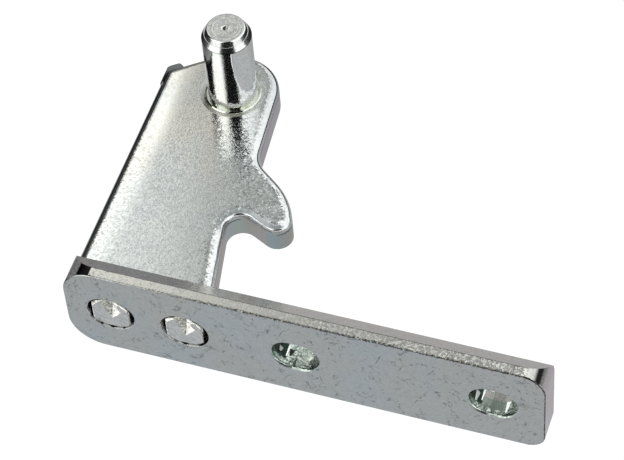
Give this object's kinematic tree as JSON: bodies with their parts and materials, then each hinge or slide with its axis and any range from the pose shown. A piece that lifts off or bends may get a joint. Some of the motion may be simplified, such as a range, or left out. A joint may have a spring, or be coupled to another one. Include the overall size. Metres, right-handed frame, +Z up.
{
  "type": "refrigerator door hinge",
  "caption": "Zinc-plated steel pivot hinge for a refrigerator door: an upright slotted mounting bar with a staked, hooked arm that carries a vertical hinge pin.",
  "frame": {"origin": "on the axis of the hinge pin, level with the top of the arm", "axes": "+X along the mounting flange, from the arm's end towards the far screw slot; +Y from the mounting face out towards the pin; +Z up along the pin"},
  "size_m": [0.121, 0.0851, 0.0419],
  "materials": {
    "plated_plate": "bright zinc plate over blanked steel, lightly scuffed",
    "plated_arm": "bright zinc plate over rolled steel, grainy and sparkling",
    "turned_pin": "smooth turned steel, bright plated"
  },
  "bodies": {
    "root": {"mounting_flange": "plated_plate", "hinge_arm": "plated_arm", "hinge_pin": "turned_pin"}
  },
  "joints": []
}
